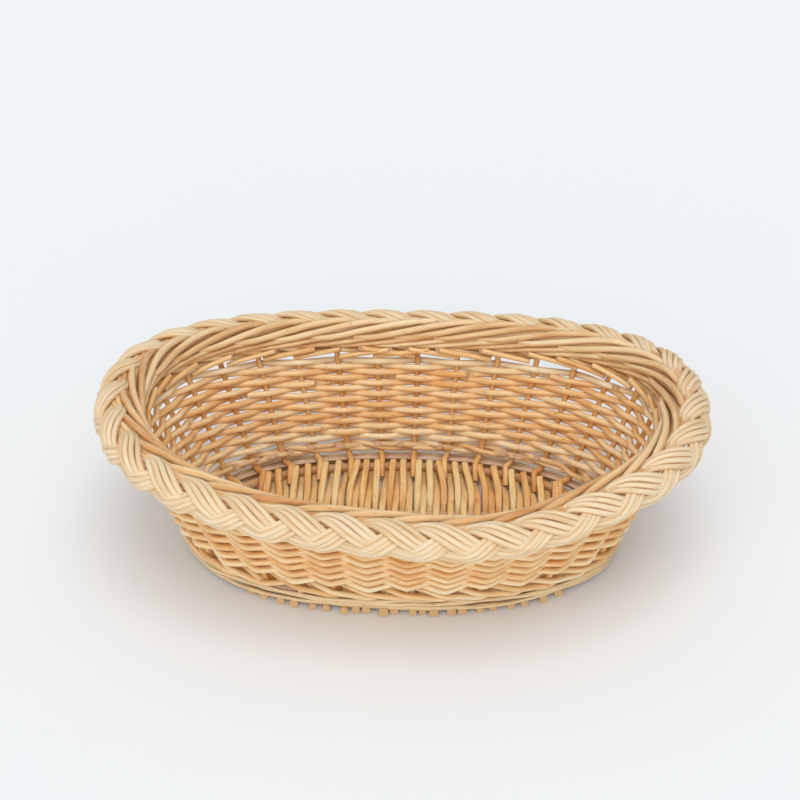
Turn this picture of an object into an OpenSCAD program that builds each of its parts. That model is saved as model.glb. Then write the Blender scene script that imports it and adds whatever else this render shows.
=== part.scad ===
// Oval willow basket: a frame base laced to a hoop, a randed wall on upright stakes, and a plaited border.
// X runs along the basket, Y across it, Z up. The origin is on the floor under the middle of the oval.

/* [Oval] */
// Half length of the border's middle line
rim_half_length = 177; // [150:1:215]
// Half width of the border's middle line
rim_half_width = 118; // [98:1:142]
// Half length of the base hoop's middle line
hoop_half_length = 127.5; // [106:0.5:150]
// Half width of the base hoop's middle line
hoop_half_width = 73; // [60:0.5:88]
// Squareness of the ovals: 2 is an ellipse, more is boxier
squareness = 2.25; // [2:0.05:2.6]
// How much higher the border lies at the two ends than at the sides
end_rise = 14.5; // [0:0.5:20]
// How far the border leans out in front, a little to the right of the middle
front_lean = 6.5; // [0:0.5:8]

/* [Rods] */
// Thickness of an upright stake
stake_d = 4; // [3.2:0.1:4.8]
// Thickness of a siding rod
weaver_d = 3.5; // [2.8:0.1:4.4]
// Thickness of a waling rod
wale_d = 3.4; // [2.8:0.1:4.2]
// Thickness of a crosswise base rod
base_rod_d = 3; // [2.5:0.1:3.4]
// Thickness of the round rod that makes the base hoop
hoop_d = 6; // [5:0.1:7.5]
// Thickness of the thin rods round the foot
foot_rod_d = 2.6; // [2:0.1:3]
// Thickness of a rod on the inner face of the border
rope_rod_d = 4.2; // [3.4:0.1:5]
// Thickness of the trimmed tails under the border
tail_d = 4; // [3.2:0.1:4.8]
// Length of a trimmed tail
tail_length = 30; // [20:1:36]
// Width of a pair of lengthwise base sticks
stick_width = 5; // [4:0.1:6]
// Thickness of a lengthwise base stick
stick_thick = 2.6; // [2:0.1:3.2]
// Width of a flat split beside the hoop
split_width = 2.2; // [1.8:0.1:2.4]
// Thickness of a flat split beside the hoop
split_thick = 1.2; // [0.8:0.1:1.6]
// Space between rods that lie against each other
rod_gap = 0.15; // [0.05:0.05:0.4]

/* [Base] */
// Where the inner pair of lengthwise sticks lies, from the middle
stick_offset = 17; // [12:0.5:24]
// How far the crosswise rods reach past the hoop, underneath it
tip_length = 12.5; // [6:0.5:15]
// Least space between the crosswise rods of one bay
base_rod_space = 0.3; // [0.1:0.1:1.5]
// How far along the basket crosswise rods are laid, from the middle
base_reach = 108; // [90:1:115]
// How far inside the hoop a stake's end is tucked
tuck_length = 11; // [8:0.5:13]

/* [Border] */
// Half the border's depth across the wall, to the middle of the plait
border_half_depth = 11.5; // [10:0.5:14]
// Half the border's height, to the middle of the plait
border_half_height = 9; // [8:0.5:11]
// Width of one plait strand, which is a flat band of rods
strand_width = 8.5; // [7:0.5:9]
// Thickness of one plait strand
strand_thick = 2; // [1.8:0.1:2.2]
// How far a strand rises and dips as it goes over and under
strand_lift = 3.6; // [3.5:0.1:3.9]

/* [Hidden] */

// A whole number of plait repeats and an odd number of stakes, so that in-and-out weaving alternates by itself
stake_count = 33;
siding_rods = 16;
stakes_per_siding_rod = 31;
waling_rods = 3;
tube_sides = 6;

// Heights of the base: the crosswise rods stand on the floor and pass under or over the hoop and the sticks
flat_r = base_rod_d / 2 * cos(180 / tube_sides);
hoop_z = 2 * flat_r + rod_gap + hoop_d / 2;
over_hoop_z = hoop_z + hoop_d / 2 + rod_gap + base_rod_d / 2;
stick_bend_room = 0.4;
stick_step = (stick_thick + base_rod_d) / 2 + rod_gap + stick_bend_room;
split_z = hoop_z + hoop_d / 2 + rod_gap + split_thick / 2;
stake_over_z = split_z + split_thick / 2 + rod_gap + stake_d / 2;

// The wall stands outside the hoop. Its length up the slope is what its rods add up to.
weave_reach = (stake_d + weaver_d) / 2 + 2 * rod_gap;
wale_reach = (stake_d + wale_d) / 2 + 2 * rod_gap;
wale_step = wale_d / 2 + rod_gap;
wale_height = 4 * wale_step;
siding_pitch = weaver_d + rod_gap;
siding_height = siding_rods * siding_pitch;
wall_slope = siding_height + 2 * wale_height;
wale_overhang = 0.4;
low_out = hoop_d / 2 + wale_d + stake_d / 2 - wale_overhang;
low_a = hoop_half_length + low_out;
low_b = hoop_half_width + low_out;
stake_bend_rise = 1;
low_z = stake_over_z + stake_bend_rise;
wall_under_border = 2.1;
wall_in = border_half_depth - wall_under_border;
top_a = rim_half_length - wall_in;
top_b = rim_half_width - wall_in;
side_rise = sqrt(pow(wall_slope, 2) - pow(top_b - low_b, 2));
border_sink = 1;
border_z = low_z + side_rise + border_half_height / 2 - border_sink;

// The oval border's line, measured off in equal steps
function rim_point(angle) =
    let (r = pow(pow(abs(cos(angle)) / rim_half_length, squareness)
               + pow(abs(sin(angle)) / rim_half_width, squareness), -1 / squareness))
    r * [cos(angle), sin(angle)];
angle_step = 1;
rim_table = [
    for (a = 0, run = 0; a <= 360;
         run = run + norm(rim_point(a + angle_step) - rim_point(a)), a = a + angle_step) [run, a]
];
rim_round = rim_table[len(rim_table) - 1][0];
function wrap(i) = i - stake_count * floor(i / stake_count);
function unit_oval(i) =
    let (p = rim_point(lookup(wrap(i) / stake_count * rim_round, rim_table)))
    [p.x / rim_half_length, p.y / rim_half_width];
function unit(v) = v / norm(v);
function mix(a, b, t) = a + (b - a) * t;

// A point on an oval beside stake i, and the level outward direction there
function oval_at(i, a, b) = let (u = unit_oval(i)) [a * u.x, b * u.y, 0];
function outward(i, a, b) =
    let (t = unit(oval_at(i + 0.02, a, b) - oval_at(i - 0.02, a, b))) [t.y, -t.x, 0];

// Where the wall leans out it comes down a little too, as its rods stay as long as they are
lean_x = 0.32;
lean_spread = 0.33;
function lean_at(i) =
    let (u = unit_oval(i)) front_lean * max(0, -u.y) * exp(-pow((u.x - lean_x) / lean_spread, 2));
function rise_at(i) =
    let (u = unit_oval(i)) end_rise * pow(u.x, 2) - side_rise
    + sqrt(pow(wall_slope, 2) - pow(top_b - low_b + lean_at(i), 2));

// The middle of the wall beside stake i, s up the slope, and the direction square to it
function wall_point(i, s) =
    let (v = s / wall_slope, u = unit_oval(i))
    [mix(low_a, top_a, v) * u.x, mix(low_b, top_b, v) * u.y, low_z + v * (side_rise + rise_at(i))]
    + outward(i, rim_half_length, rim_half_width) * lean_at(i) * v;
function wall_out(i) =
    let (t = wall_point(i + 0.02, 0) - wall_point(i - 0.02, 0), up = wall_point(i, wall_slope) - wall_point(i, 0))
    unit(cross(t, up));
function wall_up(i) = unit(wall_point(i, wall_slope) - wall_point(i, 0));
function woven(i, s, out, lift) = wall_point(i, s) + wall_out(i) * out + wall_up(i) * lift;

// Rings of a round rod along a path; side_hint fixes how the ring is turned
function rod_rings(path, r, sides, side_hint, closed) = [
    for (k = [0:len(path) - 1])
        let (
            last = len(path) - 1,
            after = closed ? path[(k + 1) % (last + 1)] : path[min(k + 1, last)],
            before = closed ? path[(k + last) % (last + 1)] : path[max(k - 1, 0)],
            t = unit(after - before),
            s = unit(cross(side_hint, t)),
            u = cross(t, s)
        )
        for (n = [0:sides - 1]) path[k] + r * (cos(n * 360 / sides) * s + sin(n * 360 / sides) * u)
];
function side_faces(rings, sides, first, closed) = [
    for (k = [0:rings - (closed ? 1 : 2)]) for (n = [0:sides - 1])
        let (
            a = first + k * sides + n,
            b = first + k * sides + (n + 1) % sides,
            c = first + ((k + 1) % rings) * sides + (n + 1) % sides,
            d = first + ((k + 1) % rings) * sides + n
        )
        each [[a, b, c], [a, c, d]]
];
function cap_faces(rings, sides, first) = [
    [for (n = [sides - 1:-1:0]) first + n],
    [for (n = [0:sides - 1]) first + (rings - 1) * sides + n]
];
module rods(paths, d, sides, side_hints) {
    rings = len(paths[0]);
    polyhedron(
        points = [for (k = [0:len(paths) - 1]) each rod_rings(paths[k], d / 2, sides, side_hints[k], false)],
        faces = [
            for (k = [0:len(paths) - 1])
                each concat(side_faces(rings, sides, k * rings * sides, false),
                            cap_faces(rings, sides, k * rings * sides))
        ]
    );
}
module rod(path, d, sides) {
    rods([path], d, sides, [[0, 0, 1]]);
}
module ring_rod(path, d) {
    polyhedron(
        points = rod_rings(path, d / 2, tube_sides, [0, 0, 1], true),
        faces = side_faces(len(path), tube_sides, 0, true)
    );
}

// Base: one thick rod bent to an oval and scarfed to itself
hoop_steps = 2 * stake_count;
module base_hoop() {
    color("burlywood")
        ring_rod([
            for (k = [0:hoop_steps - 1])
                oval_at(k / 2, hoop_half_length, hoop_half_width) + [0, 0, hoop_z]
        ], hoop_d);
}

// The crosswise rods fill the bays between the stakes' ends, which need a slot of their own
function hoop_y(x) =
    hoop_half_width * pow(1 - pow(abs(x) / hoop_half_length, squareness), 1 / squareness);
function stake_x(i) = oval_at(i, hoop_half_length, hoop_half_width).x;
stake_room = (stake_d + base_rod_d) / 2 + rod_gap;
base_xs = [
    for (i = [0:floor(stake_count / 2) - 1])
        let (
            right = stake_x(i) - stake_room,
            left = stake_x(i + 1) + stake_room,
            spaces = floor((right - left) / (base_rod_d + base_rod_space))
        )
        if (spaces > 0 && abs(stake_x(i)) < base_reach && abs(stake_x(i + 1)) < base_reach)
            for (k = [0:spaces]) mix(right, left, k / spaces)
];
// Past the stakes' ends the rods spread until they lie nearly evenly
base_spread = 0.8;
function spread_x(k) =
    let (last = len(base_xs) - 1) mix(base_xs[k], mix(base_xs[0], base_xs[last], k / last), base_spread);
end_inset = 0.5;
bend_inset = 3;
// A rod over the hoop at one side is under the first stick, over the next and under the hoop at the other
function cross_rod(k, side) =
    let (x = base_xs[k], middle_x = spread_x(k), y = hoop_y(x),
         under = hoop_z - stick_step, over = hoop_z + stick_step)
    [
        [x, side * (y - end_inset), over_hoop_z],
        [x, side * (y - bend_inset), over_hoop_z],
        [middle_x, side * stick_offset, under],
        [middle_x, -side * stick_offset, over],
        [x, -side * (y - bend_inset), flat_r],
        [x, -side * (y + tip_length), flat_r]
    ];
module cross_rods(parity) {
    chosen = [parity:2:len(base_xs) - 1];
    side = parity == 0 ? 1 : -1;
    rods([for (k = chosen) cross_rod(k, side)], base_rod_d, tube_sides, [for (k = chosen) [0, 0, 1]]);
}
module base_rods_over() {
    color("goldenrod") cross_rods(0);
}
module base_rods_under() {
    color("peru") cross_rods(1);
}

// Lengthwise sticks: two flat splits side by side in each node, woven in between the crosswise rods
stick_half = base_reach + 2;
module stick_pair(side) {
    for (k = [-1, 1])
        translate([0, side * stick_offset + k * (stick_width / 4), hoop_z])
            cube([2 * stick_half, stick_width / 2 - rod_gap, stick_thick], center = true);
}
module base_stick_back() {
    color("tan") stick_pair(1);
}
module base_stick_front() {
    color("tan") stick_pair(-1);
}

// Flat splits that run round outside the hoop, where the stakes bend over them
split_shift = 0.9;
split_inner_out = hoop_d / 2 + split_shift * split_width;
module split_ring(out) {
    rings = hoop_steps;
    path = [for (k = [0:rings - 1])
        oval_at(k / 2, hoop_half_length + out, hoop_half_width + out) + [0, 0, split_z]];
    corners = [[-0.5, -0.5], [0.5, -0.5], [0.5, 0.5], [-0.5, 0.5]];
    polyhedron(
        points = [
            for (k = [0:rings - 1])
                let (n = outward(k / 2, hoop_half_length, hoop_half_width))
                for (c = corners) path[k] + n * c.x * split_width + [0, 0, c.y * split_thick]
        ],
        faces = side_faces(rings, len(corners), 0, true)
    );
}
module hoop_split_inner() {
    color("rosybrown") split_ring(split_inner_out);
}
module hoop_split_outer() {
    color("rosybrown") split_ring(split_inner_out + split_width + rod_gap);
}

// Two thin rods run round under the wall's lower edge, on the crosswise rods' tips
foot_overhang = 1.2;
foot_out = low_out + foot_overhang;
foot_low_z = 2 * flat_r + rod_gap + foot_rod_d / 2;
module foot_rod(turn) {
    ring_rod([
        for (k = [0:hoop_steps - 1])
            oval_at(k / 2, hoop_half_length + foot_out, hoop_half_width + foot_out)
            + [0, 0, foot_low_z + turn * (foot_rod_d + rod_gap)]
    ], foot_rod_d);
}
module foot_rod_lower() {
    color("wheat") foot_rod(0);
}
module foot_rod_upper() {
    color("wheat") foot_rod(1);
}

// Each stake is tucked down between the crosswise rods, bends over the hoop and rises up the wall
function tuck_way(i) =
    let (p = oval_at(i, hoop_half_length, hoop_half_width))
    abs(p.x) < base_reach ? [0, sign(p.y), 0] : outward(i, hoop_half_length, hoop_half_width);
tuck_drop = 1;
loop_room = 1;
loop_drop = 1.2;
function stake_path(i) =
    let (p = oval_at(i, hoop_half_length, hoop_half_width), n = tuck_way(i))
    [
        p - n * tuck_length + [0, 0, hoop_z - tuck_drop],
        p - n * (hoop_d / 2 + loop_room) + [0, 0, stake_over_z - loop_drop],
        p + [0, 0, stake_over_z],
        wall_point(i, 0),
        wall_point(i, wall_slope)
    ];
module stakes() {
    color("burlywood")
        rods([for (i = [0:stake_count - 1]) stake_path(i)], stake_d, tube_sides,
             [for (i = [0:stake_count - 1]) let (n = outward(i, low_a, low_b)) [-n.y, n.x, 0]]);
}

// Three-rod wale: each rod goes in front of two stakes and behind one, and the three follow each other
function wale_spot(i, m, s) =
    let (place = (i - m + waling_rods * stake_count) % waling_rods)
    place == 0 ? woven(i, s, -wale_reach, 0)
    : place == 1 ? woven(i, s, wale_reach, wale_step)
    : woven(i, s, wale_reach, -wale_step);
function wale_middle(i, m, s) =
    let (place = (i - m + waling_rods * stake_count) % waling_rods)
    place == 0 ? woven(i + 0.5, s, 0, wale_step)
    : place == 1 ? woven(i + 0.5, s, wale_reach, 0)
    : woven(i + 0.5, s, 0, -wale_step);
module wale_rod(m, s) {
    first = m * floor(stake_count / waling_rods);
    rod([
        for (i = [first:first + stake_count - 1])
            each concat([wale_spot(i, m, s)], i < first + stake_count - 1 ? [wale_middle(i, m, s)] : [])
    ], wale_d, tube_sides);
}
upsett_s = wale_height / 2;
module upsett_rod(m) {
    color("sandybrown") wale_rod(m, upsett_s);
}
top_wale_s = wall_slope - wale_height / 2;
module top_wale_rod(m) {
    color("burlywood") wale_rod(m, top_wale_s);
}

// Siding: one rod after another spirals up, in front of one stake and behind the next
joint_at = 0.35;
joint_gap = 0.07;
function siding_spot(g) =
    let (s = wale_height + siding_pitch * (0.5 + g / stake_count))
    woven(g, s, (g % 2 == 0 ? 1 : -1) * weave_reach, 0);
module siding_rod(n) {
    first = n * stakes_per_siding_rod;
    last = first + stakes_per_siding_rod;
    color("burlywood")
        rod(concat(
            n == 0 ? [] : [mix(siding_spot(first), siding_spot(first - 1), joint_at)],
            [for (g = [first:last - 1]) siding_spot(g)],
            n == siding_rods - 1 ? [] : [mix(siding_spot(last), siding_spot(last - 1), joint_at + joint_gap)]
        ), weaver_d, tube_sides);
}

// Border: trimmed tails lie inside, just under the rods on the border's inner face
function border_point(i, out, z) =
    oval_at(i, rim_half_length, rim_half_width)
    + outward(i, rim_half_length, rim_half_width) * (out + lean_at(i))
    + [0, 0, border_z + rise_at(i) + z];
tail_s = wall_slope - wale_height - 1.5 * tail_d;
tail_room = 0.8;
tail_in = wale_reach + (wale_d + tail_d) / 2 + tail_room;
module border_tails() {
    color("peru")
        for (i = [0:stake_count - 1]) {
            middle = woven(i + 0.5, tail_s, -tail_in, 0);
            along = woven(i + 1, tail_s, -tail_in, 0) - woven(i, tail_s, -tail_in, 0);
            way = unit(along);
            translate(middle)
                rotate([0, 90 - asin(way.z), atan2(way.y, way.x)])
                    cylinder(d = tail_d, h = min(tail_length, norm(along) - tail_d / 2), center = true, $fn = 24);
        }
}

// Rods on the border's inner face: each climbs past its neighbours, from clear of the top wale to the upper edge
rope_turns = 2.6;
rope_shift = 0.2;
rope_bends = 3;
rope_low = [-(border_half_depth + 6.2), -2.4];
rope_high = [-(border_half_depth + 1), border_half_height - 0.6];
function rope_path(i) = [
    for (k = [0:rope_bends])
        let (t = k / rope_bends, p = mix(rope_low, rope_high, t))
        border_point(i + rope_shift - rope_turns * t, p.x, p.y)
];
module border_rope_rods() {
    color("burlywood")
        rods([for (i = [0:stake_count - 1]) rope_path(i)], rope_rod_d, tube_sides,
             [for (i = [0:stake_count - 1]) [0, 0, 1]]);
}

// Plait: three flat bands of rods, wrapped over the border from its inner top edge to its outer bottom edge.
// The bands lie longer on the top than underneath, so their way round is drawn out by the droop.
strand_rings_per_stake = 3;
plait_middle = 40;
plait_swing = 78;
plait_droop = 0.25;
function plait_around(i, j) =
    let (x = -sin(120 * (i + j)))
    plait_middle + plait_swing * (x - plait_droop * (1 - x * x));
function strand_point(i, j) =
    let (
        around = plait_around(i, j),
        lift = -strand_lift * sin(240 * (i + j))
    )
    border_point(i, (border_half_depth + lift) * cos(around), (border_half_height + lift) * sin(around));
function strand_out(i, j) =
    let (around = plait_around(i, j))
    unit(outward(i, rim_half_length, rim_half_width) * cos(around) + [0, 0, sin(around)]);
strand_section = [[-0.5, 0], [-0.33, -0.5], [0.33, -0.5], [0.5, 0], [0.33, 0.5], [-0.33, 0.5]];
module plait_strand(j) {
    rings = stake_count * strand_rings_per_stake;
    color("wheat")
        polyhedron(
            points = [
                for (k = [0:rings - 1])
                    let (
                        i = k / strand_rings_per_stake,
                        t = unit(strand_point(i + 0.1, j) - strand_point(i - 0.1, j)),
                        side = unit(cross(t, strand_out(i, j))),
                        out = cross(side, t)
                    )
                    for (c = strand_section)
                        strand_point(i, j) + side * c.x * strand_width + out * c.y * strand_thick
            ],
            faces = side_faces(rings, len(strand_section), 0, true)
        );
}

base_hoop();
base_rods_over();
base_rods_under();
base_stick_back();
base_stick_front();
hoop_split_inner();
hoop_split_outer();
foot_rod_lower();
foot_rod_upper();
stakes();
upsett_rod(0);  // upsett_rod_1
upsett_rod(1);  // upsett_rod_2
upsett_rod(2);  // upsett_rod_3
siding_rod(0);  // siding_rod_01
siding_rod(1);  // siding_rod_02
siding_rod(2);  // siding_rod_03
siding_rod(3);  // siding_rod_04
siding_rod(4);  // siding_rod_05
siding_rod(5);  // siding_rod_06
siding_rod(6);  // siding_rod_07
siding_rod(7);  // siding_rod_08
siding_rod(8);  // siding_rod_09
siding_rod(9);  // siding_rod_10
siding_rod(10);  // siding_rod_11
siding_rod(11);  // siding_rod_12
siding_rod(12);  // siding_rod_13
siding_rod(13);  // siding_rod_14
siding_rod(14);  // siding_rod_15
siding_rod(15);  // siding_rod_16
top_wale_rod(0);  // top_wale_rod_1
top_wale_rod(1);  // top_wale_rod_2
top_wale_rod(2);  // top_wale_rod_3
border_tails();
border_rope_rods();
plait_strand(0);  // plait_strand_1
plait_strand(1);  // plait_strand_2
plait_strand(2);  // plait_strand_3
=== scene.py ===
import math
import bpy
import numpy as np
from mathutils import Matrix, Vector


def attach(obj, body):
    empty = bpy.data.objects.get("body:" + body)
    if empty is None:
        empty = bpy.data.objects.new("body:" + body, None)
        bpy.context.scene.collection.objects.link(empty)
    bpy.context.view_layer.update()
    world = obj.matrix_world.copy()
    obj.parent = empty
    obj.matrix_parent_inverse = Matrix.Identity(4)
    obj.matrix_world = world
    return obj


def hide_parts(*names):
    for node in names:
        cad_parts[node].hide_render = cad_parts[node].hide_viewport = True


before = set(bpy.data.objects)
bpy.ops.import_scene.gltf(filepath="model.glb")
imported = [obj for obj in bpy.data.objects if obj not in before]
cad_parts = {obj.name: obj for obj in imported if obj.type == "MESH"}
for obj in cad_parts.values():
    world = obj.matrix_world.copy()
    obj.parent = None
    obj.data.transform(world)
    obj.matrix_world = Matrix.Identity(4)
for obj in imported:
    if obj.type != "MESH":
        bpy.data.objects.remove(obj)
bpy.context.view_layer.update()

# --- Camera -------------------------------------------------------------------------------------
# A long lens a good step in front of the basket, looking down into it over the near border.
camera_data = bpy.data.cameras.new("camera")
camera_data.sensor_width = 36.0
camera_data.lens = 108.2
camera_data.clip_start, camera_data.clip_end = 0.05, 50.0
camera = bpy.data.objects.new("camera", camera_data)
camera_aim = Vector((-0.0014, 0.0, 0.1039))
camera.location = Vector((0.0426, -1.2725, 0.8970))
camera.rotation_mode = "QUATERNION"
camera.rotation_quaternion = (camera_aim - camera.location).to_track_quat("-Z", "Y")
bpy.context.scene.collection.objects.link(camera)
bpy.context.scene.camera = camera

# --- Base hoop ----------------------------------------------------------------------------------
# One thick peeled willow rod bent round to an oval and scarfed to itself. It is the first thing
# made: all that follows is laid across it, wrapped over it or stood up against it. Sizes in mm.
hoop_half_length, hoop_half_width = 127.5, 73.0
hoop_d = 6.0
base_rod_d = 3.0
rod_gap = 0.15
flat_r = base_rod_d / 2 * math.cos(math.pi / 6)
hoop_z = 2 * flat_r + rod_gap + hoop_d / 2

# The ovals follow the border's line, measured off in one step for each stake
stake_count = 33
rim_half_length, rim_half_width = 177.0, 118.0
squareness = 2.25


def rim_reach(angle):
    return (
        np.abs(np.cos(angle) / rim_half_length) ** squareness
        + np.abs(np.sin(angle) / rim_half_width) ** squareness
    ) ** (-1 / squareness)


rim_angles = np.radians(np.arange(361.0))
rim_line = rim_reach(rim_angles)[:, None] * np.stack([np.cos(rim_angles), np.sin(rim_angles)], 1)
rim_run = np.append(0.0, np.cumsum(np.linalg.norm(np.diff(rim_line, axis=0), axis=1)))
stake_pitch = rim_run[-1] / stake_count


def unit(v):
    return v / np.linalg.norm(v, axis=-1, keepdims=True)


def unit_oval(i):
    run = np.mod(np.asarray(i, float), stake_count) * stake_pitch
    angle = np.interp(run, rim_run, rim_angles)
    r = rim_reach(angle)
    return r * np.cos(angle) / rim_half_length, r * np.sin(angle) / rim_half_width


def oval_at(i, a, b, z=0.0):
    x, y = unit_oval(i)
    return np.stack([a * x, b * y, z + 0 * x], -1)


beside_it = 0.05


def outward(i, a, b):
    i = np.asarray(i)
    t = unit(oval_at(i + beside_it, a, b) - oval_at(i - beside_it, a, b))
    return np.stack([t[..., 1], -t[..., 0], 0 * t[..., 0]], -1)


knee_steps = 6


def smooth(points):
    """The line that a supple rod takes through the points it is bent round."""
    p = np.asarray(points, float)
    q = np.vstack([2 * p[0] - p[1], p, 2 * p[-1] - p[-2]])
    t = np.linspace(0, 1, knee_steps, endpoint=False)[:, None]
    line = np.vstack([
        b + 0.5 * ((c - a) * t + (2 * a - 5 * b + 4 * c - d) * t**2
                   + (3 * b - a - 3 * c + d) * t**3)
        for a, b, c, d in zip(q[:-3], q[1:-2], q[2:-1], q[3:])
    ])
    return np.vstack([line, p[-1:]])


dice = np.random.default_rng(20)


def wander(run, size, length):
    """A slow, uneven waver, as no rod is quite straight."""
    total = 0 * run
    for share, part in ((0.6, 1.0), (0.3, 0.43), (0.2, 0.21)):
        total = total + share * np.sin(run * 2 * math.pi / (length * part) + dice.uniform(0, 6.28))
    return size * total


def wander_round(run, size, turns):
    """The same kind of waver on a rod whose end meets its beginning."""
    total = 0 * run
    for share, part in ((0.6, 1), (0.3, 2), (0.2, 5)):
        turn = run / stake_count * 2 * math.pi * turns * part
        total = total + share * np.sin(turn + dice.uniform(0, 6.28))
    return size * total


mm = 0.001
rod_sides = 10
round_section = np.array([
    [math.cos(a), math.sin(a)] for a in np.arange(rod_sides) * 2 * math.pi / rod_sides
])


class Bundle:
    """Rods that make up one piece. Each has its own shade and its own stretch of grain."""

    def __init__(self):
        self.spots, self.quads, self.ends = [], [], []
        self.tones, self.grains, self.cuts, self.flanks = [], [], [], []
        self.total = 0

    def lay(self, path, radius, hint=(0, 0, 1), closed=False, section=round_section, tone=None,
            facing=None, slants=(0.0, 0.0), ring_cut=0.0, weave_out=None):
        """One rod. A rod with weave_out, the way out of the weave there, gets painted shade on its
        flanks.
        """
        path = np.asarray(path, float)
        n, k = len(path), len(section)
        radius = np.broadcast_to(np.asarray(radius, float), (n,))
        along = np.roll(path, -1, 0) - np.roll(path, 1, 0) if closed else np.gradient(path, axis=0)
        t = unit(along)
        s = unit(np.cross(np.broadcast_to(np.asarray(hint, float), t.shape), t))
        u = np.cross(t, s)
        rings = path[:, None] + radius[:, None, None] * (
            section[None, :, :1] * s[:, None] + section[None, :, 1:] * u[:, None]
        )
        # flank marks the sides of the rod that lie against its neighbours; the material paints shade
        # there
        flank = np.zeros((n, k))
        if weave_out is not None:
            around = unit(rings - path[:, None])
            level = np.broadcast_to(np.asarray(weave_out, float), (n, 3))
            flank = 1 - np.abs((around * unit(level)[:, None]).sum(-1))
        if facing is not None:
            for end, slant in ((0, slants[0]), (-1, slants[1])):
                depth = (rings[end] - path[end]) @ unit(np.asarray(facing, float))
                rings[end] += (1 if end == 0 else -1) * slant * depth[:, None] * t[end]
        run = np.append(0.0, np.cumsum(np.linalg.norm(np.diff(path, axis=0), axis=1)))
        shift = dice.uniform(0, 400, 3)
        grain = np.empty((n, k, 3))
        grain[:, :, 0] = run[:, None] + shift[0]
        grain[:, :, 1:] = shift[1:] + section[None] * radius[:, None, None]
        tone = dice.uniform() if tone is None else tone
        first = self.total
        ring = np.arange(n if closed else n - 1)
        after = (ring + 1) % n
        side = np.arange(k)
        beside = (side + 1) % k
        self.quads.append(first + np.stack([
            ring[:, None] * k + side, ring[:, None] * k + beside,
            after[:, None] * k + beside, after[:, None] * k + side,
        ], -1).reshape(-1, 4))
        self.spots.append(rings.reshape(-1, 3))
        self.grains.append(grain.reshape(-1, 3))
        self.tones.append(np.full(n * k, tone))
        self.cuts.append(np.full(n * k, ring_cut))
        self.flanks.append(flank.ravel())
        self.total += n * k
        if closed:
            return
        for end in (0, -1):
            turned = side[::-1] if end == 0 else side
            self.spots.append(rings[end])
            self.grains.append(grain[end])
            self.tones.append(np.full(k, tone))
            self.cuts.append(np.ones(k))
            self.flanks.append(np.zeros(k))
            self.ends.append([int(self.total + v) for v in turned])
            self.total += k

    def piece(self, name, finish):
        mesh = bpy.data.meshes.new(name)
        quads = [tuple(q) for q in np.vstack(self.quads).tolist()]
        mesh.from_pydata((np.vstack(self.spots) * mm).tolist(), [], quads + self.ends)
        smooth_flags = np.zeros(len(quads) + len(self.ends), bool)
        smooth_flags[: len(quads)] = True
        mesh.polygons.foreach_set("use_smooth", smooth_flags)
        for kind, key, data in (
            ("FLOAT", "tone", np.concatenate(self.tones)),
            ("FLOAT", "cut", np.concatenate(self.cuts)),
            ("FLOAT", "flank", np.concatenate(self.flanks)),
            ("FLOAT_VECTOR", "grain", np.vstack(self.grains)),
        ):
            layer = mesh.attributes.new(key, kind, "POINT")
            layer.data.foreach_set("vector" if kind == "FLOAT_VECTOR" else "value", data.ravel())
        mesh.materials.append(finish)
        mesh.update()
        thing = bpy.data.objects.new(name, mesh)
        bpy.context.scene.collection.objects.link(thing)
        return thing


white_card = 0.94
# The second value sets how strongly the rods' flanks are darkened with painted shade where they lie
# against their neighbours
tone_spread, painted_flank_shade, scar_depth, skin_gloss = 0.34, 0.85, 0.55, 0.28


def tint(red, green, blue):
    """A colour as it is read off a card, 0 to 255, whose own white gives back 94% of the light."""
    return tuple(
        white_card * (c / 255 / 12.92 if c / 255 < 0.04045 else ((c / 255 + 0.055) / 1.055) ** 2.4)
        for c in (red, green, blue)
    ) + (1.0,)


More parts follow.
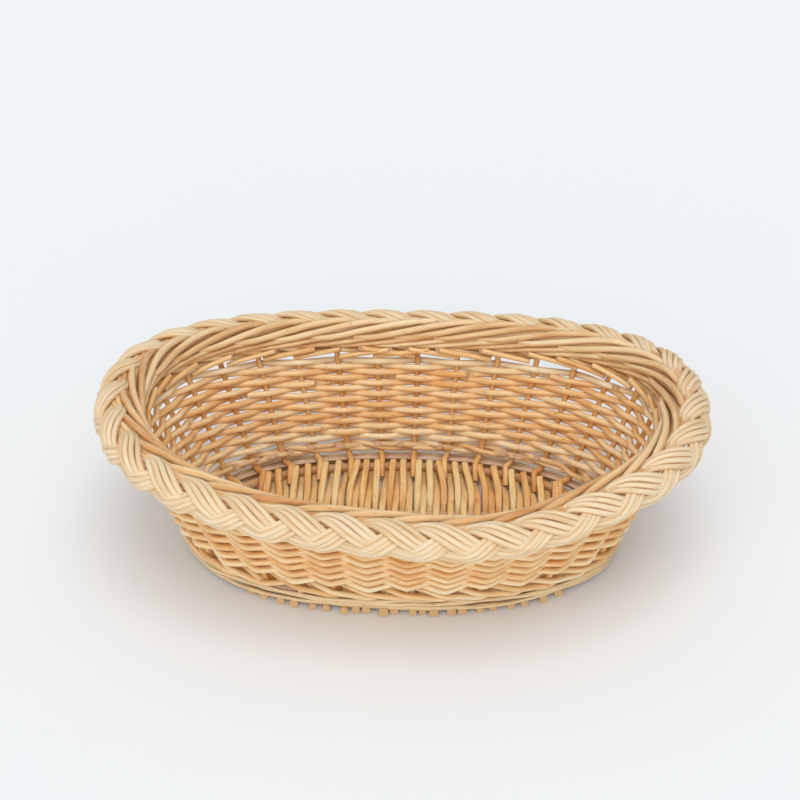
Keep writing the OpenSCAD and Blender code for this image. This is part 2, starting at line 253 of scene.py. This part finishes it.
def willow(name, pale, middle, deep, cut=(226, 184, 150), streak=0.5, knots=0.5, rough=0.42):
    """Peeled willow: long fibres, slow changes of colour, small scars where buds sat, and painted
    shade on the flanks where rods lie together.
    """
    finish = bpy.data.materials.new(name)
    finish.use_nodes = True
    tree = finish.node_tree
    tree.nodes.clear()

    def add(kind, settings=(), **inputs):
        made = tree.nodes.new(kind)
        for key, value in dict(settings).items():
            setattr(made, key, value)
        for key, value in inputs.items():
            numbered = key[0] == "i" and key[1:].isdigit()
            socket = made.inputs[int(key[1:]) if numbered else key]
            if isinstance(value, bpy.types.NodeSocket):
                tree.links.new(value, socket)
            else:
                socket.default_value = value
        return made

    grain = add("ShaderNodeAttribute", {"attribute_name": "grain"}).outputs["Vector"]
    tone = add("ShaderNodeAttribute", {"attribute_name": "tone"}).outputs["Fac"]
    end_face = add("ShaderNodeAttribute", {"attribute_name": "cut"}).outputs["Fac"]
    flank = add("ShaderNodeAttribute", {"attribute_name": "flank"}).outputs["Fac"]

    def stretched(along, across):
        return add("ShaderNodeVectorMath", {"operation": "MULTIPLY"}, i0=grain,
                   i1=(along, across, across)).outputs["Vector"]

    fibre = add("ShaderNodeTexNoise", Vector=stretched(0.10, 3.2), Scale=1.0, Detail=5.0,
                Roughness=0.62).outputs["Fac"]
    cloud = add("ShaderNodeTexNoise", Vector=stretched(0.035, 0.30), Scale=1.0, Detail=4.0,
                Roughness=0.6).outputs["Fac"]
    mixed = add("ShaderNodeMath", {"operation": "MULTIPLY_ADD"}, i0=tone, i1=tone_spread,
                i2=-tone_spread / 2).outputs[0]
    mixed = add("ShaderNodeMath", {"operation": "ADD"}, i0=mixed, i1=cloud).outputs[0]
    ramp = add("ShaderNodeValToRGB", Fac=mixed)
    bands = ramp.color_ramp
    bands.elements[0].position, bands.elements[0].color = 0.22, tint(*deep)
    bands.elements[1].position, bands.elements[1].color = 0.78, tint(*pale)
    bands.elements.new(0.48).color = tint(*middle)
    shade = ramp.outputs["Color"]

    streaks = add("ShaderNodeMapRange", Value=fibre, i1=0.32, i2=0.68, i3=1.0 - 0.34 * streak,
                  i4=1.0 + 0.12 * streak).outputs["Result"]
    shade = add("ShaderNodeMix", {"data_type": "RGBA", "blend_type": "MULTIPLY"}, i0=1.0, i6=shade,
                i7=streaks).outputs[2]
    # Painted shade: each rod's flanks, where it lies against its neighbours, are darkened towards a
    # warm orange, standing in for interreflected shade
    flank_shade = add("ShaderNodeMapRange", Value=flank, i1=0.3, i2=0.95, i3=0.0,
                i4=painted_flank_shade).outputs["Result"]
    shade = add("ShaderNodeMix", {"data_type": "RGBA", "blend_type": "MULTIPLY"}, i0=flank_shade,
                i6=shade, i7=tint(255, 230, 196)).outputs[2]
    scar_cells = add("ShaderNodeTexVoronoi", {"feature": "F1"}, Vector=stretched(0.16, 0.55),
                     Scale=1.0, Randomness=1.0)
    scars = add("ShaderNodeMapRange", Value=scar_cells.outputs["Distance"], i1=0.10, i2=0.26,
                i3=1.0, i4=0.0).outputs["Result"]
    sparse = add("ShaderNodeMath", {"operation": "GREATER_THAN"},
                 i0=add("ShaderNodeSeparateColor", Color=scar_cells.outputs["Color"]).outputs[0],
                 i1=1.0 - 0.4 * knots).outputs[0]
    scars = add("ShaderNodeMath", {"operation": "MULTIPLY"}, i0=scars, i1=sparse).outputs[0]
    scars = add("ShaderNodeMath", {"operation": "MULTIPLY"}, i0=scars, i1=scar_depth).outputs[0]
    shade = add("ShaderNodeMix", {"data_type": "RGBA"}, i0=scars, i6=shade,
                i7=tint(136, 84, 44)).outputs[2]
    pith = add("ShaderNodeMix", {"data_type": "RGBA"}, i0=fibre, i6=tint(*cut),
               i7=tint(*[c * 0.86 for c in cut])).outputs[2]
    shade = add("ShaderNodeMix", {"data_type": "RGBA"}, i0=end_face, i6=shade, i7=pith).outputs[2]

    sheen = add("ShaderNodeMapRange", Value=fibre, i1=0.3, i2=0.7, i3=rough + 0.1,
                i4=rough - 0.06).outputs["Result"]
    relief = add("ShaderNodeBump", Strength=0.35, Distance=0.0003, Height=fibre).outputs["Normal"]
    skin = add("ShaderNodeBsdfPrincipled", Roughness=sheen, Normal=relief)
    skin.inputs["Specular IOR Level"].default_value = skin_gloss
    tree.links.new(shade, skin.inputs["Base Color"])
    tree.links.new(skin.outputs["BSDF"],
                   tree.nodes.new("ShaderNodeOutputMaterial").inputs["Surface"])
    return finish


hoop_finish = willow("hoop_willow", (234, 192, 142), (222, 174, 124), (194, 138, 92), streak=0.8)
hoop_rod = Bundle()
hoop_i = np.arange(0, stake_count, 0.25)
hoop_rod.lay(oval_at(hoop_i, hoop_half_length, hoop_half_width, hoop_z), hoop_d / 2, closed=True,
             tone=0.4)
hoop = hoop_rod.piece("hoop_rod", hoop_finish)
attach(hoop, "root")
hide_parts("base_hoop")

# --- Crosswise rods and lengthwise sticks -------------------------------------------------------
# Thin rods laid side by side across the hoop. Every other one goes over it at the back and under
# it at the front, and the rest the other way about, so that they cross the two pairs of flat split
# sticks that run lengthwise. At the front and back their tips stand out beyond the hoop.
base_reach = 108.0
base_rod_space = 0.3
stake_d = 4.0
tip_length = 12.5
stick_offset = 17.0
stick_width, stick_thick = 5.0, 2.6
stick_bend_room = 0.4
stick_half = base_reach + 2
stick_step = (stick_thick + base_rod_d) / 2 + rod_gap + stick_bend_room
over_hoop_z = hoop_z + hoop_d / 2 + rod_gap + base_rod_d / 2
stake_room = (stake_d + base_rod_d) / 2 + rod_gap


def hoop_y(x):
    return hoop_half_width * (1 - (abs(x) / hoop_half_length) ** squareness) ** (1 / squareness)


# The rods stand between the stakes' tucks at the hoop, and more evenly across the middle
base_spread = 0.8
base_xs = []
for i in range(stake_count // 2):
    here, there = (oval_at(k, hoop_half_length, hoop_half_width)[0] for k in (i, i + 1))
    spaces = math.floor((here - there - 2 * stake_room) / (base_rod_d + base_rod_space))
    if spaces > 0 and abs(here) < base_reach and abs(there) < base_reach:
        base_xs += list(np.linspace(here - stake_room, there + stake_room, spaces + 1))


def squared(value, power):
    return math.copysign(abs(value) ** power, value)


flat_sides = 12
flat_section = np.array([
    [squared(math.cos(a), 0.5), squared(math.sin(a), 0.6)]
    for a in (np.arange(flat_sides) + 0.5) * 2 * math.pi / flat_sides
])
base_rod_full, base_rod_belly, base_rod_taper, tip_swell = 1.44, 0.04, 0.12, 0.7
base_finish = willow("base_willow", (255, 232, 178), (255, 212, 146), (236, 172, 100),
                     cut=(228, 186, 130), streak=0.9, knots=0.7)
for parity, side, name, node in (
    (0, 1, "crosswise_rods_a", "base_rods_over"), (1, -1, "crosswise_rods_b", "base_rods_under"),
):
    bundle = Bundle()
    for k in range(parity, len(base_xs), 2):
        x = base_xs[k]
        even_x = base_xs[0] + (base_xs[-1] - base_xs[0]) * k / (len(base_xs) - 1)
        mid_x = x + (even_x - x) * base_spread
        y = hoop_y(x)
        reach = tip_length + dice.uniform(-2.6, 0.4)
        lean = dice.uniform(-0.5, 0.5)
        half_way = (y + stick_offset) / 2
        knees = [
            (x - lean, side * (y - 0.5), over_hoop_z),
            (x - lean, side * (y - 4), over_hoop_z - 0.1),
            (mid_x, side * half_way, hoop_z + 1.2),
            (mid_x, side * stick_offset, hoop_z - stick_step),
            (mid_x, 0, hoop_z),
            (mid_x, -side * stick_offset, hoop_z + stick_step),
            (mid_x, -side * half_way, hoop_z - 1.4),
            (x + lean, -side * (y - 4), flat_r + 0.1),
            (x + lean, -side * (y + reach / 2), flat_r), (x + lean, -side * (y + reach), flat_r),
        ]
        line = smooth(knees)
        run = np.linspace(0, 1, len(line))
        line[:, 0] += wander(run, 0.25, 0.8)
        taper = (1, -1)[int(dice.integers(2))] * base_rod_taper
        belly = base_rod_belly * np.sin(run * math.pi)
        thick = base_rod_d / 2 * (base_rod_full + belly + taper * (run - 0.5))
        thick += dice.uniform(0, tip_swell) * np.clip(run * 8 - 7, 0, 1)
        line[:, 2] = np.maximum(line[:, 2], thick)
        bundle.lay(line, thick, section=flat_section * [1, 0.85], facing=(0, 0, 1),
                   slants=(0, dice.uniform(0.1, 0.5)), weave_out=(0, 0, 1))
    rods = bundle.piece(name, base_finish)
    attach(rods, "root")
    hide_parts(node)

split_finish = willow("split_willow", (255, 230, 204), (250, 214, 180), (230, 184, 144), streak=1.0,
                      knots=0.2, rough=0.5)
stick_section = flat_section * [stick_width / 4 - rod_gap / 2, stick_thick / 2]
for side, name, node in (
    (1, "stick_pair_back", "base_stick_back"), (-1, "stick_pair_front", "base_stick_front"),
):
    bundle = Bundle()
    for k in (-1, 1):
        run = np.linspace(-1, 1, 60)
        line = np.stack([
            run * stick_half,
            side * stick_offset + k * stick_width / 4 + wander(run, 0.12, 0.7),
            hoop_z + wander(run, 0.1, 0.5),
        ], 1)
        bundle.lay(line, 1.0, section=stick_section, ring_cut=0.35)
    sticks = bundle.piece(name, split_finish)
    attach(sticks, "root")
    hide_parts(node)

# --- Flat splits and foot rods ------------------------------------------------------------------
# Two flat splits run round on the shoulder of the hoop, so that the stakes bend over something
# broad. Under them, thin rods go round outside the hoop on the crosswise rods' tips: two loose
# turns in the lower row and three in the upper.
split_width, split_thick = 2.2, 1.2
foot_rod_d = 2.6
split_z = hoop_z + hoop_d / 2 + rod_gap + split_thick / 2
split_shift = 0.9
split_lift, split_full = 0.3, 1.08
split_inner_out = hoop_d / 2 + split_shift * split_width
split_outs = (split_inner_out, split_inner_out + split_width + rod_gap)
ring_i = np.arange(0, stake_count, 0.125)
split_section = flat_section * [split_width / 2, split_thick / 2]
for out, name, node in zip(
    split_outs, ("split_inner", "split_outer"), ("hoop_split_inner", "hoop_split_outer")
):
    bundle = Bundle()
    line = oval_at(ring_i, hoop_half_length + out, hoop_half_width + out, split_z + split_lift)
    bundle.lay(line, split_full, closed=True, section=split_section, ring_cut=0.3)
    split = bundle.piece(name, split_finish)
    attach(split, "root")
    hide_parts(node)

foot_finish = willow("foot_willow", (250, 228, 186), (244, 212, 162), (222, 176, 118), streak=0.9)
foot_beyond_hoop = 6.2
foot_out = hoop_d / 2 + foot_beyond_hoop
foot_rod_full = 0.82
foot_low_z = 2 * flat_r + rod_gap + foot_rod_d / 2
foot_step = foot_rod_d + rod_gap
# How many steps up each turn lies, and how much further out
for name, node, rows in (
    ("foot_rod_low", "foot_rod_lower", ((0.0, 0.3), (0.4, 1.2))),
    ("foot_rod_high", "foot_rod_upper", ((1.0, 0.2), (1.5, 1.6), (2.0, 1.2))),
):
    bundle = Bundle()
    for row, out in rows:
        reach = foot_out + out
        line = oval_at(ring_i, hoop_half_length + reach, hoop_half_width + reach,
                       foot_low_z + row * foot_step)
        way_out = outward(ring_i, hoop_half_length, hoop_half_width)
        line += way_out * wander_round(ring_i, 0.9, 6)[:, None]
        line[:, 2] += wander_round(ring_i, 1.1, 5)
        line[:, 2] = np.maximum(line[:, 2], foot_low_z)
        thick = foot_rod_d / 2 * (foot_rod_full + wander_round(ring_i, 0.12, 3))
        bundle.lay(line, thick, closed=True)
    rods = bundle.piece(name, foot_finish)
    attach(rods, "root")
    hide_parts(node)

# --- Stakes -------------------------------------------------------------------------------------
# Thirty-three upright rods. Each is tucked down inside the hoop between two crosswise rods, bends
# out over the hoop and the splits, and is pricked up to lean outward as the bones of the wall.
wale_d, weaver_d = 3.4, 3.5
siding_rods, stakes_per_siding_rod = 16, 31
border_half_depth, border_half_height = 11.5, 9.0
end_rise = 14.5
stake_over_z = split_z + split_thick / 2 + rod_gap + stake_d / 2
weave_reach = (stake_d + weaver_d) / 2 + 2 * rod_gap
wale_reach = (stake_d + wale_d) / 2 + 2 * rod_gap
wale_step = wale_d / 2 + rod_gap
wale_height = 4 * wale_step
siding_pitch = weaver_d + rod_gap
wall_slope = siding_rods * siding_pitch + 2 * wale_height
wale_overhang = 0.4
low_out = hoop_d / 2 + wale_d + stake_d / 2 - wale_overhang
low_a, low_b = hoop_half_length + low_out, hoop_half_width + low_out
stake_bend_rise = 1
low_z = stake_over_z + stake_bend_rise
wall_under_border = 2.1
wall_in = border_half_depth - wall_under_border
top_a, top_b = rim_half_length - wall_in, rim_half_width - wall_in
side_rise = math.sqrt(wall_slope**2 - (top_b - low_b) ** 2)
border_sink = 1
border_z = low_z + side_rise + border_half_height / 2 - border_sink
tuck_length, tuck_drop = 11.0, 1
stake_full, stake_taper = 1.03, 0.1

# In front, a little to the right of the middle, the wall leans out further, and so it comes down
# a little there
front_lean, lean_x, lean_spread = 6.5, 0.32, 0.33


def lean_at(i):
    x, y = unit_oval(i)
    return front_lean * np.maximum(0, -y) * np.exp(-(((x - lean_x) / lean_spread) ** 2))


def rise_at(i):
    leaning = np.sqrt(wall_slope**2 - (top_b - low_b + lean_at(i)) ** 2)
    return end_rise * unit_oval(i)[0] ** 2 - side_rise + leaning


def wall_point(i, s):
    i, s = np.broadcast_arrays(np.asarray(i, float), np.asarray(s, float))
    v = s / wall_slope
    x, y = unit_oval(i)
    return np.stack([
        (low_a + (top_a - low_a) * v) * x, (low_b + (top_b - low_b) * v) * y,
        low_z + v * (side_rise + rise_at(i)),
    ], -1) + outward(i, rim_half_length, rim_half_width) * (lean_at(i) * v)[..., None]


def wall_up(i):
    return unit(wall_point(i, wall_slope) - wall_point(i, 0))


def wall_out(i):
    i = np.asarray(i)
    t = wall_point(i + beside_it, 0) - wall_point(i - beside_it, 0)
    return unit(np.cross(t, wall_up(i)))


def woven(i, s, out, lift=0.0):
    out, lift = np.asarray(out, float)[..., None], np.asarray(lift, float)[..., None]
    return wall_point(i, s) + wall_out(i) * out + wall_up(i) * lift


stake_finish = willow("stake_willow", (252, 214, 156), (244, 190, 122), (220, 154, 86), streak=0.8)
stakes = Bundle()
for i in range(stake_count):
    foot = oval_at(i, hoop_half_length, hoop_half_width)
    way = outward(i, hoop_half_length, hoop_half_width)
    if abs(foot[0]) < base_reach:
        way = np.array([0, math.copysign(1, foot[1]), 0])
    knees = [
        foot - way * tuck_length + [0, 0, hoop_z - tuck_drop],
        foot - way * (hoop_d / 2 + 1.4) + [0, 0, stake_over_z - 1.5],
        foot + [0, 0, stake_over_z + 0.2],
        foot + (wall_point(i, 0) - foot) * [0.55, 0.55, 0] + [0, 0, stake_over_z + 0.5],
        wall_point(i, 2.6),
    ] + [wall_point(i, s) for s in np.linspace(10, wall_slope + 2, 9)]
    line = smooth(knees)
    side_way = np.cross([0, 0, 1], outward(i, low_a, low_b))
    run = np.linspace(0, 1, len(line))
    line += side_way * wander(run, 0.25, 0.9)[:, None]
    stakes.lay(line, stake_d / 2 * (stake_full - stake_taper * run), hint=side_way,
               weave_out=wall_out(i))
uprights = stakes.piece("stake_rods", stake_finish)
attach(uprights, "root")
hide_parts("stakes")

# --- Upsett wale --------------------------------------------------------------------------------
# Three peeled rods woven together round the bottom of the wall, each in front of two stakes and
# behind one. They are beaten down tight, and set the stakes at their slope.
wale_finish = willow("wale_willow", (255, 236, 198), (253, 216, 162), (236, 178, 112), streak=0.8)
waling_rods = 3
wale_full = 1.06


def wale_line(first, last, m, s, loose):
    knees = []
    for half in range(2 * first, 2 * last + 1):
        place = (half // 2 - m) % waling_rods
        if half % 2 == 0:
            out, lift = ((-wale_reach, 0), (wale_reach, wale_step), (wale_reach, -wale_step))[place]
        else:
            out, lift = ((0, wale_step), (wale_reach * 1.02, 0), (0, -wale_step))[place]
        knees.append(woven(half / 2, s, out, lift))
    line = smooth(knees)
    run = np.arange(len(line)) / (2 * knee_steps)
    line += wall_up(first + run) * wander(run, loose, 5.0)[:, None]
    return line, wall_out(first + run)


for m in range(waling_rods):
    bundle = Bundle()
    first = m * (stake_count // waling_rods)
    line, way_out = wale_line(first, first + stake_count - 1, m, wale_height / 2, 0.25)
    thick = wale_d / 2 * (wale_full + wander(np.linspace(0, 1, len(line)), 0.05, 0.5))
    bundle.lay(line, thick, weave_out=way_out)
    wale = bundle.piece(f"upsett_wale_{m + 1}", wale_finish)
    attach(wale, "root")
    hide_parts(f"upsett_rod_{m + 1}")

# --- Butt ends ----------------------------------------------------------------------------------
# Short butts of rods stand out on the inside of the wall just above the wale, one beside each
# stake. Each goes in between two stakes and is cut at a slant.
butt_finish = willow("butt_willow", (248, 214, 168), (238, 196, 144), (214, 158, 104), streak=0.9)
butts = Bundle()
for i in range(stake_count):
    t = np.linspace(0, 1, 10)
    begin = i + 0.5 + dice.uniform(-0.15, 0.15)
    way = dice.choice([-1, 1, 1])
    s = 2.2 + dice.uniform(0, 2.6) + 1.6 * t
    line = woven(begin + way * t * dice.uniform(0.6, 0.85), s, 0.5 - 6.6 * np.sin(t * math.pi / 2))
    butts.lay(line, weaver_d / 2 * dice.uniform(0.95, 1.15), facing=-wall_out(i) + [0, 0, 0.5],
              slants=(0, dice.uniform(1.1, 2.0)))
butt_ends = butts.piece("butt_ends", butt_finish)
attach(butt_ends, "root")

# --- Siding -------------------------------------------------------------------------------------
# Sixteen rods, one after another, spiral up the wall in front of one stake and behind the next.
# As the stakes are odd in number, each round falls between the rods of the round below.
siding_finish = willow("siding_willow", (255, 240, 206), (255, 220, 168), (242, 184, 116),
                       cut=(244, 208, 160))
bend_keenness = 0.98
joint_at, joint_gap = 0.35, 0.07
siding_full, siding_taper = 1.26, 0.10
beat_room = 0.02
between_bends = np.array([
    -0.5, -0.4, -0.3, -0.2, -0.13, -0.08, -0.04, 0, 0.04, 0.08, 0.13, 0.2, 0.3, 0.4,
])
for n in range(siding_rods):
    bundle = Bundle()
    first = n * stakes_per_siding_rod
    start = first - (joint_at if n else 0)
    stop = first + stakes_per_siding_rod - (joint_at + joint_gap if n < siding_rods - 1 else 1)
    beats = np.arange(first, first + stakes_per_siding_rod + 1)[:, None] + between_bends
    inside = (beats > start + beat_room) & (beats < stop - beat_room)
    g = np.concatenate([[start], beats[inside], [stop]])
    wave = np.arcsin(bend_keenness * np.cos(math.pi * g)) / math.asin(bend_keenness)
    run = (g - start) / (stop - start)
    s = wale_height + siding_pitch * (0.5 + g / stake_count)
    line = woven(g, s, wave * weave_reach + wander(g, 0.12, 4.1), wander(g, 0.28, 6.3))
    inner = -wall_out(np.array([start, stop]))
    thick = weaver_d / 2 * (siding_full - siding_taper * run + wander(g, 0.02, 3.0))
    bundle.lay(line, thick, facing=inner[0], slants=(1.1, 0.9), weave_out=wall_out(g))
    siding = bundle.piece(f"siding_{n + 1:02d}", siding_finish)
    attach(siding, "root")
    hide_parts(f"siding_rod_{n + 1:02d}")

# --- Top wale -----------------------------------------------------------------------------------
# A second three-rod wale, of the same peeled rods as the first. It is woven close under the border
# and locks the siding.
for m in range(waling_rods):
    bundle = Bundle()
    first = m * (stake_count // waling_rods)
    line, way_out = wale_line(first, first + stake_count - 1, m, wall_slope - wale_height / 2, 0.3)
    thick = wale_d / 2 * (wale_full + wander(np.linspace(0, 1, len(line)), 0.05, 0.5))
    bundle.lay(line, thick, weave_out=way_out)
    wale = bundle.piece(f"top_wale_{m + 1}", wale_finish)
    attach(wale, "root")
    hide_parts(f"top_wale_rod_{m + 1}")

# --- Trimmed tails ------------------------------------------------------------------------------
# Inside, under the border, the tails of the bent-down stakes lie over the top wale like shingles.
# Each is cut off short, at a slant.
tail_finish = willow("tail_willow", (252, 222, 172), (246, 202, 142), (222, 160, 96))
tail_d = 4.0
tail_root_out, tail_end_out = -3.2, -(wale_reach + (wale_d + tail_d) / 2)
tail_drop, tail_climb = 8.5, 5.5
tails = Bundle()
for i in range(stake_count):
    way = 1 if unit_oval(i)[0] > 0 else -1
    begin = i + dice.uniform(-0.15, 0.15)
    t = np.linspace(0, 1, 14)
    spread = begin + way * t * dice.uniform(1.15, 1.4)
    s = wall_slope - tail_drop + tail_climb * t + dice.uniform(-0.8, 0.8)
    out = tail_root_out + (tail_end_out - tail_root_out) * np.sin(t * math.pi / 2)
    line = woven(spread, s, out + dice.uniform(-0.3, 0.3))
    tails.lay(line, tail_d / 2 * dice.uniform(0.78, 1.0), facing=-wall_out(i),
              slants=(0, dice.uniform(0.2, 1.2)), weave_out=wall_out(i))
trimmed = tails.piece("tail_rods", tail_finish)
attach(trimmed, "root")
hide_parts("border_tails")

# --- Rope of rods on the border's inner face ----------------------------------------------------
# Each stake's rod climbs the inner face beside its neighbours, like the strands of a rope, and
# goes over the top edge and in under the plait. A thinner tier lies below, and more rods lie
# behind these and close the gaps between them.
rope_finish = willow("rope_willow", (248, 222, 180), (238, 200, 150), (212, 158, 102))
rope_rod_d = 4.2
rope_knees = np.array([
    # along, out, up: from the hidden low end to the end under the plait
    (2.3, -12.6, 2.6), (1.9, -14.9, 3.8), (1.4, -14.2, 6.1), (0.9, -12.2, 8.3), (0.4, -9.4, 10.1),
    (0.0, -6.9, 10.9), (-0.25, -5.2, 10.8), (-0.5, -3.4, 9.7), (-0.75, -1.0, 8.0), (-1.0, 2.0, 6.8),
])
lower_knees = np.array([
    (1.9, -12.8, -3.2), (1.5, -14.9, -2.4), (1.0, -15.5, -0.9), (0.5, -15.3, 0.7), (0.0, -14.4, 2.2),
    (-0.4, -13.2, 3.4), (-0.8, -11.4, 4.2),
])


def border_point(i, out, z):
    i, out, z = np.broadcast_arrays(np.asarray(i, float), out, z)
    return (
        oval_at(i, rim_half_length, rim_half_width)
        + outward(i, rim_half_length, rim_half_width) * (out + lean_at(i))[..., None]
        + np.stack([0 * z, 0 * z, border_z + rise_at(i) + z], -1)
    )


rope = Bundle()
rope_start = 0.25
for i in range(stake_count):
    # the rod's path, its thickness, how far on along the border it lies, how far behind
    for knees, thick, step, behind in (
        (rope_knees, rope_rod_d * 1.12, 0.0, 0.0), (lower_knees, rope_rod_d * 0.8, 0.0, 0.0),
        (rope_knees[:7], rope_rod_d * 0.7, 0.5, 3.4), (lower_knees, rope_rod_d * 0.7, 0.5, 1.8),
        (rope_knees, rope_rod_d, 0.25, 6.0), (rope_knees, rope_rod_d, 0.75, 6.0),
    ):
        knees = smooth(knees) + [0, behind, -0.4 * behind]
        run = np.linspace(0, 1, len(knees))
        at = i + step + rope_start + knees[:, 0] + dice.uniform(-0.06, 0.06)
        out = knees[:, 1] + wander(run, 0.25, 0.9)
        line = border_point(at, out, knees[:, 2] + wander(run, 0.25, 0.9))
        level_out = outward(at, rim_half_length, rim_half_width)
        rope.lay(line, thick / 2 * dice.uniform(0.93, 1.03) * (0.86 + 0.2 * run), facing=(0, 0, 1),
                 weave_out=[0, 0, 1] - level_out)
roped = rope.piece("rope_rods", rope_finish)
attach(roped, "root")
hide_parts("border_rope_rods")

# --- Plait --------------------------------------------------------------------------------------
# Three flat bands of four thin rods are plaited along the border. Each crosses the top from the
# inner edge to the outer, dives under the next band and comes back up over the one after.
plait_finish = willow("plait_willow", (244, 226, 196), (238, 213, 174), (222, 180, 130), knots=0.2)
plait_middle, plait_swing = math.radians(38), math.radians(55)
plait_radius = 12.9
plait_rod_d = 3.5
plait_rod_full = 1.06
plait_strands, rods_per_band = 3, 4
plait_start = 0.25
# From the inner edge over the top to the outer edge, and back under the next bands: share of the
# repeat, how far round (1 is the inner edge, -1 the outer), lift off the border, width of the band
plait_way = np.array([
    (0.00, 1.00, -0.3, 0.80), (0.09, 0.78, 1.7, 0.92), (0.18, 0.42, 2.6, 1.00),
    (0.27, 0.02, 2.2, 1.00), (0.36, -0.40, 0.5, 0.92), (0.44, -0.76, -1.5, 0.82),
    (0.53, -0.98, -0.6, 0.76), (0.62, -0.95, 1.2, 0.84), (0.70, -0.64, 1.7, 0.92),
    (0.78, -0.16, 0.6, 0.88), (0.86, 0.40, -1.6, 0.82), (0.94, 0.88, -1.9, 0.78),
])
most_lift = plait_way[:, 2].max()
band_crown, band_stack = 0.6, 2.4
repeat_shares = np.concatenate([plait_way[:, 0] - 1, plait_way[:, 0], plait_way[:, 0] + 1])


def plait_value(i, j, column):
    share = np.mod((i + j) / plait_strands + plait_start, 1.0)
    marks = np.tile(plait_way[:, column], 3)
    slopes = np.gradient(marks, repeat_shares)
    k = np.clip(np.searchsorted(repeat_shares, share, side="right") - 1, 0, len(marks) - 2)
    width = repeat_shares[k + 1] - repeat_shares[k]
    t = (share - repeat_shares[k]) / width
    return (
        marks[k] * (1 + 2 * t) * (1 - t) ** 2 + marks[k + 1] * t**2 * (3 - 2 * t)
        + width * slopes[k] * t * (1 - t) ** 2 - width * slopes[k + 1] * t**2 * (1 - t)
    )


def plait_around(i, j):
    return plait_middle + plait_swing * plait_value(i, j, 1)


rods_middle = (rods_per_band - 1) / 2
look_on = 0.02
for j in range(plait_strands):
    bundle = Bundle()
    i = np.arange(0, stake_count, 1 / 18)
    around = plait_around(i, j)
    step_i = stake_pitch * 2 * look_on
    step_v = plait_radius * (plait_around(i + look_on, j) - plait_around(i - look_on, j))
    length = np.hypot(step_i, step_v)
    lift_at = plait_value(i, j, 2)
    spread = plait_value(i, j, 3)
    for k in range(rods_per_band):
        place = k - rods_middle
        across = place * plait_rod_d * spread + wander_round(i, 0.2, 7)
        at = i - step_v / length * across / stake_pitch
        angle = around + step_i / length * across / plait_radius
        bulge = 1 - (place / rods_middle) ** 2
        crown = band_crown * bulge * (lift_at > 0) * lift_at / most_lift
        lift = lift_at + crown
        lift = lift + (-1) ** k * band_stack * (1 - spread) + wander_round(i, 0.15, 9)
        line = border_point(at, (border_half_depth + lift) * np.cos(angle),
                            (border_half_height + lift) * np.sin(angle))
        way_out = outward(at, rim_half_length, rim_half_width) * np.cos(angle)[:, None]
        way_out = way_out + np.sin(angle)[:, None] * [0, 0, 1]
        thick = plait_rod_d / 2 * (plait_rod_full + wander_round(i, 0.03, 5))
        bundle.lay(line, thick, closed=True, tone=dice.uniform(0.3, 0.7), weave_out=way_out)
    plaited = bundle.piece(f"plait_{j + 1}", plait_finish)
    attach(plaited, "root")
    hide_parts(f"plait_strand_{j + 1}")

# --- Floor and light ----------------------------------------------------------------------------
# A plain pale floor, an even pale surround, a soft light high up, a weak one from behind and a
# broad low one in front that fills the shadows.
floor_mesh = bpy.data.meshes.new("floor")
floor_half = 6.0
corners = [(x * floor_half, y * floor_half, 0) for x, y in ((-1, -1), (1, -1), (1, 1), (-1, 1))]
floor_mesh.from_pydata(corners, [], [(0, 1, 2, 3)])
floor_finish = bpy.data.materials.new("floor_paper")
floor_finish.use_nodes = True
paper = floor_finish.node_tree.nodes["Principled BSDF"]
paper.inputs["Base Color"].default_value = (0.85, 0.876, 0.902, 1)
paper.inputs["Roughness"].default_value = 0.9
floor_mesh.materials.append(floor_finish)
floor = bpy.data.objects.new("floor", floor_mesh)
bpy.context.scene.collection.objects.link(floor)

world = bpy.data.worlds.new("surround")
world.use_nodes = True
world.node_tree.nodes["Background"].inputs["Color"].default_value = (0.97, 0.985, 1.0, 1)
world.node_tree.nodes["Background"].inputs["Strength"].default_value = 0.55
bpy.context.scene.world = world


def soft_light(name, place, width, power, colour):
    """A broad lamp far off, so that it lights the floor evenly; width is the angle it fills."""
    data = bpy.data.lights.new(name, "SUN")
    data.angle, data.energy, data.color = math.radians(width), power, colour
    lamp = bpy.data.objects.new(name, data)
    lamp.location = place
    lamp.rotation_mode = "QUATERNION"
    lamp.rotation_quaternion = (-Vector(place)).to_track_quat("-Z", "Y")
    bpy.context.scene.collection.objects.link(lamp)


lamp_white = (1, 0.985, 0.96)
soft_light("key", (0.2, -0.6, 2.6), 40, 0.85, lamp_white)
soft_light("back_fill", (0.1, 1.6, 2.0), 60, 0.15, lamp_white)
soft_light("front_fill", (-0.3, -2.6, 1.1), 80, 1.6, lamp_white)
bpy.context.scene.view_settings.view_transform = "Standard"
